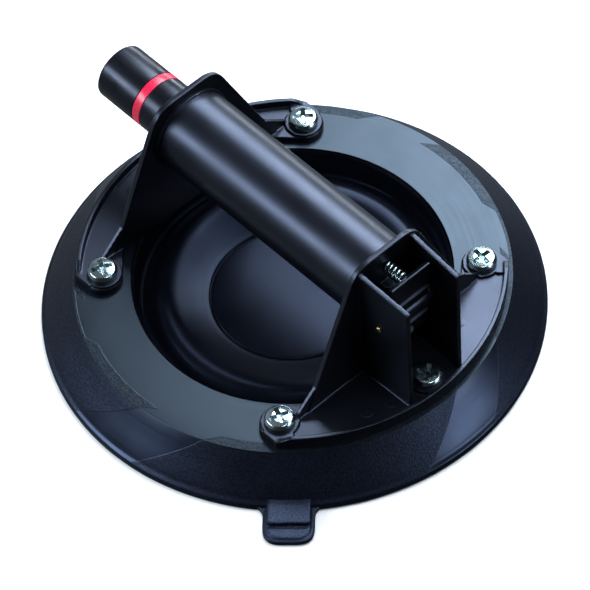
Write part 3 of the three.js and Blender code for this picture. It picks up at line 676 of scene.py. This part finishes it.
def foot_outline(inner):
    """Foot seen from above, on the +X side; its straight inner edge lies at x = inner."""
    x, y = SCREWS[2]
    spread = math.degrees(math.asin(FOOT_END_Y / FOOT_RADIUS))
    outer = arc((0, 0), FOOT_RADIUS, -spread, spread, 64)
    return [Vector((inner, -FOOT_INNER_Y)), *arc((x, -y), CORNER_RADIUS, 145, 270, 12), *outer,
            *arc((x, y), CORNER_RADIUS, 90, 215, 12), Vector((inner, FOOT_INNER_Y))]


def foot_lip():
    """Raised outer edge of a foot; its ends run down to the corner pads."""
    sections = []
    steps = 96
    for step in range(steps + 1):
        angle = LIP_END_ANGLE * (2 * step / steps - 1)
        ramp = min(max((LIP_END_ANGLE - 0.3 - abs(angle)) / LIP_RAMP_ANGLE, 0), 1)
        top = BOSS_TOP + LIP_RISE * ramp * ramp * (3 - 2 * ramp)
        turn = Vector((math.cos(math.radians(angle)), math.sin(math.radians(angle)), 0))
        inner, outer = turn * (FOOT_RADIUS - LIP_WIDTH), turn * FOOT_RADIUS
        low, high = Vector((0, 0, FOOT_BOTTOM)), Vector((0, 0, top))
        sections.append([inner + low, outer + low, outer + high, inner + high])
    return loft(sections)


def foot_solids(inner):
    """Floor, outer lip, bosses and corner pads of the foot on the +X side, from x = inner outwards."""
    x, y = SCREWS[2]
    solids = [prism(foot_outline(inner), "z", FOOT_BOTTOM, FLOOR_TOP), foot_lip()]
    for centre in SCREWS[:3]:
        solids.append(rod(BOSS_RADIUS, FOOT_BOTTOM, BOSS_TOP, centre=(*centre, 0), segments=64))
    for side in (1, -1):
        pad = [(x - 1, side * (y - 1)), (x - 1, side * FOOT_END_Y), (58.2, side * FOOT_END_Y),
               (61.2, side * 60.2), (62.6, side * 58.4), (60, side * 55.5)]
        solids.append(prism(pad if side > 0 else pad[::-1], "z", FOOT_BOTTOM, BOSS_TOP))
        for spot in ((69 - side * 3, side * 28), (75, side * 18)):
            solids.append(rod(2.1, FOOT_BOTTOM, FLOOR_TOP + 0.15, centre=(*spot, 0), segments=32))
    return solids


def gusset_solids(plate):
    """Widened lower corners of a plate, which stiffen it against its foot."""
    solids = []
    for side in (1, -1):
        outline = [(side * 36, FOOT_BOTTOM), (side * 50, FOOT_BOTTOM), (side * 50, 24.2), (side * 37.4, 35)]
        solids.append(prism(outline, "x", plate[0] + 0.4, plate[1] - 0.4))
    return solids


def wall_solids():
    """Two upright side walls that make a box with the near plate, open at the top and at the outer end."""
    solids = []
    for side in (1, -1):
        sections = []
        for x, outer, top in WALL_ENDS:
            inner = outer - WALL_THICKNESS
            sections.append([(x, side * outer, FOOT_BOTTOM), (x, side * outer, top),
                             (x, side * inner, top), (x, side * inner, FOOT_BOTTOM)])
        solids.append(loft(sections))
    return solids


def duct_solids():
    """Air duct, its branch to the release valve and the post that holds the release spring."""
    column = rod(DUCT_RADIUS, FOOT_BOTTOM, DUCT_TOP, centre=(DUCT_X, 0, 0))
    branch = rod(BRANCH_RADIUS, DUCT_X, BRANCH_END_X, "x", (0, 0, VALVE_Z))
    post = rod(1.4, 55, 58.6, "x", (0, 0, RELEASE_SPRING_Z), 32)
    return [column, branch, post]


def screw_hole_cutters(screws):
    return [rod(SCREW_HOLE_RADIUS, 18, 30, centre=(*centre, 0), segments=32) for centre in screws]


def make_near_bracket():
    """Near plate with its foot, the release box and the air duct, in one moulding."""
    plate = prism(plate_outline(), "x", *NEAR_PLATE, PLATE_DRAFT)
    foot = foot_solids(sum(NEAR_PLATE) / 2)
    solids = [plate, *wall_solids(), *foot, *gusset_solids(NEAR_PLATE), *duct_solids()]
    bracket = moulded(to_object("near_bracket", solids), VOXEL, 1)
    pivot = rod(PIN_HOLE_RADIUS, -20, 20, "y", (PIVOT[0], 0, PIVOT[1]), 32)
    tube = rod(TUBE_RADIUS, 18, 27, centre=(DUCT_X, 0, 0))
    outlet = rod(2, DUCT_X, 63, "x", (0, 0, VALVE_Z), 32)
    combined(bracket, [*screw_hole_cutters(SCREWS[:3]), pivot, tube, outlet], "DIFFERENCE")
    finish_piece(bracket, "cup_frame", "black_plastic", "handle_body", sharp=60)


def make_far_bracket():
    """Far plate with its foot, open where the plunger comes out."""
    foot = [turned(solid, 180) for solid in foot_solids(-sum(FAR_PLATE) / 2)]
    plate = prism(plate_outline(), "x", *FAR_PLATE, PLATE_DRAFT)
    bracket = moulded(to_object("far_bracket", [plate, *foot, *gusset_solids(FAR_PLATE)]), VOXEL, 1)
    start, end = SNAP_GROOVE
    mouth = lathe([(0, -60), (MOUTH_RADIUS, -60), (MOUTH_RADIUS, start), (SNAP_GROOVE_RADIUS, start),
                   (SNAP_GROOVE_RADIUS, end), (MOUTH_RADIUS, end), (MOUTH_RADIUS, -54), (0, -54)],
                  "x", (0, 0, GRIP_Z), 96)
    combined(bracket, [*screw_hole_cutters(SCREWS[3:]), mouth], "DIFFERENCE")
    finish_piece(bracket, "cup_frame", "black_plastic", "handle_body", sharp=60)


def make_barrel():
    """The grip is the pump cylinder: a bored tube with a collar at each plate."""
    profile = rounded([
        (MOUTH_RADIUS, -56.4, 0), (COLLAR_RADIUS, -56.4, 0), (COLLAR_RADIUS, -54.9, 0.4),
        (GRIP_RADIUS, -54.7, 0.3), (GRIP_RADIUS, BARREL_END_X - 1.2, 1), (COLLAR_RADIUS, BARREL_END_X, 0),
        (0, BARREL_END_X, 0), (0, VALVE_POCKET_X, 0), (VALVE_POCKET_RADIUS, VALVE_POCKET_X, 0),
        (VALVE_POCKET_RADIUS, CHAMBER_END_X, 0.2), (BORE_RADIUS, CHAMBER_END_X, 0.2),
        (BORE_RADIUS, MOUTH_DEPTH_X, 0.3), (MOUTH_RADIUS, MOUTH_DEPTH_X, 0.2),
    ])
    start = profile.index(Vector((0, VALVE_POCKET_X)))
    profile = profile[start:] + profile[:start]
    barrel = to_object("grip_barrel", [lathe(profile, "x", (0, 0, GRIP_Z), 144)])
    finish_piece(barrel, "cup_frame", "black_plastic", "handle_body")


# ------------------------------------------------------------------ foot screws
def cross_recess(top):
    """Tapered cross-shaped cutter: two crossed slots that narrow from above the head down into it."""
    sections = [[(-reach, -half, z), (reach, -half, z), (reach, half, z), (-reach, half, z)]
                for reach, half, z in ((4.5, 1.15, top + 1), (4.2, 1, top - 0.5), (1.9, 0.5, top - 2.4))]
    return [turned(loft(sections), angle) for angle in (0, 90)]


def make_screws():
    base = BOSS_TOP + 0.1
    top = base + HEAD_HEIGHT
    profile = rounded([
        (0, SHANK_END, 0), (SHANK_RADIUS - 0.7, SHANK_END, 0), (SHANK_RADIUS, SHANK_END + 0.7, 0),
        (SHANK_RADIUS, base, 0.2), (HEAD_RADIUS, base, 0.3), (HEAD_RADIUS, base + 1.7, 0.8),
        (5.3, base + 3, 1), (3, top - 0.06, 2), (0, top, 0),
    ])
    for number, (x, y) in enumerate(SCREWS, 1):
        screw = to_object(f"pan_screw_{number}", [lathe(profile, segments=64)])
        combined(screw, cross_recess(top), "DIFFERENCE")
        turn = Matrix.Rotation(math.radians(17 + 53 * number), 4, "Z")
        screw.data.transform(Matrix.Translation((x, y, 0)) @ turn)
        finish_piece(screw, "cup_frame", "bright_steel", f"foot_screw_{number}")


# ------------------------------------------------------------------ pump
def make_turned_piece(name, node, corners, body, slot, segments=96, axis="x", centre=(0, 0, GRIP_Z)):
    """A turned piece that stands for one CAD node; its corners are (radius, place on the axis, easing)."""
    solid = lathe(rounded(corners), axis, centre, segments)
    return finish_piece(to_object(name, [solid]), body, slot, node)


def make_plunger():
    """Hollow plunger and the red band in its groove."""
    radius = (PLUNGER_HIGH.z - PLUNGER_LOW.z) / 2
    end, inner_end = PLUNGER_LOW.x, PLUNGER_HIGH.x
    groove = radius - 0.8
    band_low, band_high = (corner.x for corner in box_mm("indicator_band"))
    make_turned_piece("plunger_tube", "plunger", [
        (0, end, 0), (radius, end, 1.3), (radius, band_low - 0.2, 0.15), (groove, band_low - 0.2, 0),
        (groove, band_high + 0.2, 0), (radius, band_high + 0.2, 0.15), (radius, inner_end, 0.3),
        (9.6, inner_end, 0.2), (9.6, end + 4.5, 1), (0, end + 4.5, 0),
    ], "pump_plunger", "plunger_plastic", 128)
    make_turned_piece("low_vacuum_band", "indicator_band", [
        (groove + 0.25, band_low, 0.1), (radius, band_low, 0.35), (radius, band_high, 0.35),
        (groove + 0.25, band_high, 0.1),
    ], "pump_plunger", "red_plastic", 128)


def make_bush():
    make_turned_piece("plunger_bush", "guide_bush", [
        (12.4, -56.2, 0.4), (15.1, -56.2, 0.2), (15.1, -48.4, 0.3), (12.4, -48.4, 0.3), (12.4, -51.8, 0),
        (13.9, -51.8, 0), (13.9, -54.2, 0), (12.4, -54.2, 0),
    ], "cup_frame", "white_plastic", 128)
    make_turned_piece("plunger_wiper", "wiper_ring", [
        (12.35, -53.3, 0.2), (13.6, -54, 0.2), (13.6, -52, 0.2), (12.35, -52.7, 0.2),
    ], "cup_frame", "seal_rubber", 128)


def make_snap_ring():
    profile = rounded([(14.3, -57.5, 0.2), (16, -57.5, 0.2), (16, -56.6, 0.2), (14.3, -56.6, 0.2)])
    ring = to_object("snap_ring", [lathe(profile, "x", (0, 0, GRIP_Z), 96)])
    combined(ring, [block((-58.5, -55.5), (-5, 5), (GRIP_Z - 20, GRIP_Z))], "DIFFERENCE")
    finish_piece(ring, "cup_frame", "dark_steel", "bush_retaining_ring")


def make_seals():
    make_turned_piece("piston_lip_seal", "piston_cup", [
        (9, -45.3, 0.2), (12.3, -45.3, 0.4), (12.7, -43.9, 0.6), (13.1, -40.9, 0.2), (12.2, -40.9, 0.2),
        (11.5, -43.1, 0.6), (9, -43.1, 0.2),
    ], "pump_plunger", "seal_rubber")
    make_turned_piece("umbrella_valve", "inlet_valve", [
        (0, 40.6, 0), (2.4, 40.7, 1), (6.2, 41.9, 0.2), (6.1, 42.5, 0.2), (1.6, 42.6, 0.2), (1.6, 46, 0.2),
        (2.4, 46.2, 0.3), (1.6, 47.4, 0.3), (0, 47.4, 0),
    ], "cup_frame", "seal_rubber", 64)
    low, high = box_mm("release_valve_plug")
    make_turned_piece("valve_plug", "release_valve_plug", [
        (0, low.x, 0), (3.7, low.x, 0.2), (4, low.x + 0.35, 0.3), (4, low.x + 1.5, 0.3),
        (1.35, low.x + 1.5, 0.1), (1.35, high.x - 1.3, 0.1), (2.1, high.x - 1.1, 0.3),
        (1.2, high.x, 0.4), (0, high.x, 0),
    ], "release", "seal_rubber", 64, centre=(0, 0, VALVE_Z))
    low, high = box_mm("filter_element")
    make_turned_piece("filter_disc", "filter_element", [
        (0, low.z, 0), (4.2, low.z, 0.3), (4.2, high.z, 0.3), (0, high.z, 0),
    ], "cup_frame", "felt", 64, "z", (DUCT_X, 0, 0))


def make_springs():
    low, high = box_mm("plunger_spring")
    spring = to_object("return_coil", [coil(low.x, high.x, GRIP_Z, **RETURN_COIL)])
    finish_piece(spring, "cup_frame", "bright_steel", "plunger_spring", 80)
    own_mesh(spring)
    low, high = box_mm("release_spring")
    spring = to_object("release_coil", [coil(low.x, high.x, RELEASE_SPRING_Z, **RELEASE_COIL)])
    finish_piece(spring, "cup_frame", "bright_steel", "release_spring", 80)
    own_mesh(spring)


# ------------------------------------------------------------------ release lever
def lever_face(z):
    """Outer face of the leaning lever plate."""
    return LEVER_FOOT_X + LEVER_LEAN * (z - LEVER_LOW.z) / (LEVER_HIGH.z - LEVER_LOW.z)


def make_lever():
    """Ribbed plate with a hub for the pin, a spring post and a hole for the valve plug."""
    low, high = LEVER_LOW.z, LEVER_HIGH.z
    half = LEVER_HALF_WIDTH
    plate = rounded([(lever_face(low) - LEVER_THICKNESS, low, 0.6), (lever_face(low), low, 0.6),
                     (lever_face(high), high, 0.2), (lever_face(high) - LEVER_THICKNESS, high - 2.2, 0.4)])
    solids = [prism(plate, "y", -half, half)]
    for z in GRIP_RIBS_Z:
        solids.append(rod(0.75, -half, half, "y", (lever_face(z) + 0.15, 0, z), 24))
    solids.append(rod(0.45, -half, half, "y", (lever_face(high) + 0.2, 0, high - 0.5), 24))
    solids.append(rod(HUB_RADIUS, -HUB_HALF_WIDTH, HUB_HALF_WIDTH, "y", (PIVOT[0], 0, PIVOT[1])))
    back = lever_face(RELEASE_SPRING_Z) - LEVER_THICKNESS
    solids.append(rod(1, back - 1.5, back + 1, "x", (0, 0, RELEASE_SPRING_Z), 32))
    lever = moulded(to_object("lever", solids), LEVER_VOXEL, 1)
    bore = rod(PIN_HOLE_RADIUS, -13, 13, "y", (PIVOT[0], 0, PIVOT[1]), 32)
    plug_hole = rod(1.65, 60, 70, "x", (0, 0, VALVE_Z), 32)
    combined(lever, [bore, plug_hole], "DIFFERENCE")
    finish_piece(lever, "release", "black_plastic", "release_lever", sharp=60)


def make_pin():
    half = PIN_HIGH.y + 0.3
    make_turned_piece("pivot_pin", "lever_pivot_pin", [
        (0, -half, 0), (1.5, -half, 0.9), (1.5, half, 0.9), (0, half, 0),
    ], "cup_frame", "brass", 48, "y", (PIVOT[0], 0, PIVOT[1]))


# ------------------------------------------------------------------ floor and light
def make_floor():
    bm = bmesh.new()
    bmesh.ops.create_grid(bm, x_segments=8, y_segments=8, size=6)
    bmesh.ops.translate(bm, verts=bm.verts, vec=(0, 0, -0.0004))
    mesh = bpy.data.meshes.new("floor")
    bm.to_mesh(mesh)
    bm.free()
    floor = bpy.data.objects.new("floor", mesh)
    bpy.context.collection.objects.link(floor)
    look = Finish("floor_paper", specular=0.1)
    paper = look.noise(6, 4)
    color = look.mix(look.span(paper, 0.3, 0.7, 0, 1), (0.9, 0.91, 0.92), (0.93, 0.94, 0.95))
    mesh.materials.append(look.done(color, 0.9, look.bump(paper, 0.01)))
    floor.visible_glossy = False


def make_light(name, place, target, size, power, color):
    """Rectangular softbox at a place, aimed at a target; both are in metres."""
    lamp = bpy.data.lights.new(name, "AREA")
    lamp.shape = "RECTANGLE"
    lamp.size, lamp.size_y = size
    lamp.energy = power
    lamp.color = color
    light = bpy.data.objects.new(name, lamp)
    light.location = place
    light.rotation_euler = (Vector(target) - Vector(place)).to_track_quat("-Z", "Y").to_euler()
    bpy.context.collection.objects.link(light)
    return light


def make_world():
    """Dim studio, brighter towards the plunger's side."""
    world = bpy.data.worlds.new("studio")
    bpy.context.scene.world = world
    world.use_nodes = True
    nodes, links = world.node_tree.nodes, world.node_tree.links
    split = nodes.new("ShaderNodeSeparateXYZ")
    glow = nodes.new("ShaderNodeMapRange")
    for name, number in (("From Min", -0.3), ("From Max", 1), ("To Min", 0.03), ("To Max", 0.32)):
        glow.inputs[name].default_value = number
    flip = nodes.new("ShaderNodeMath")
    flip.operation = "MULTIPLY"
    flip.inputs[1].default_value = -1
    links.new(nodes.new("ShaderNodeTexCoord").outputs["Generated"], split.inputs[0])
    links.new(split.outputs["X"], flip.inputs[0])
    links.new(flip.outputs[0], glow.inputs["Value"])
    background = nodes["Background"]
    background.inputs["Color"].default_value = (*COOL_WHITE, 1)
    links.new(glow.outputs[0], background.inputs["Strength"])


def make_lighting():
    make_light("key_softbox", (-0.19, 0.41, 0.54), (0, 0.02, 0.02), (0.42, 0.38), 7.2, COOL_WHITE)
    make_light("side_softbox", (-0.45, -0.76, 0.54), (0, 0, 0.07), (0.7, 0.26), 7.5, COOL_WHITE)
    make_light("right_softbox", (1.1, 0.5, 0.36), (0, 0, 0.03), (0.6, 0.26), 4.6, COOL_WHITE)
    make_light("rim_strip", (-0.5, 0.71, 0.07), (0, 0, 0.06), (0.8, 0.09), 2.4, COOL_WHITE)
    make_light("edge_softbox", (0.27, 0.33, 0.68), (0, 0, 0.04), (0.26, 0.2), 1.2, COOL_WHITE)
    make_light("top_softbox", (0.3, 0, 0.82), (0.07, 0, 0.03), (0.16, 0.16), 1.2, COOL_WHITE)
    fill = make_light("floor_fill", (0, 0, 2.5), (0, 0, 0), (2.4, 2.4), 42, WHITE)
    fill.visible_glossy = False
    make_world()
    bpy.context.scene.view_settings.view_transform = "Standard"


make_camera()
MATERIALS = make_materials()
dress_cad_nodes()
make_pad()
make_near_bracket()
make_far_bracket()
make_barrel()
make_screws()
make_plunger()
make_bush()
make_snap_ring()
make_seals()
make_springs()
make_lever()
make_pin()
make_floor()
make_lighting()
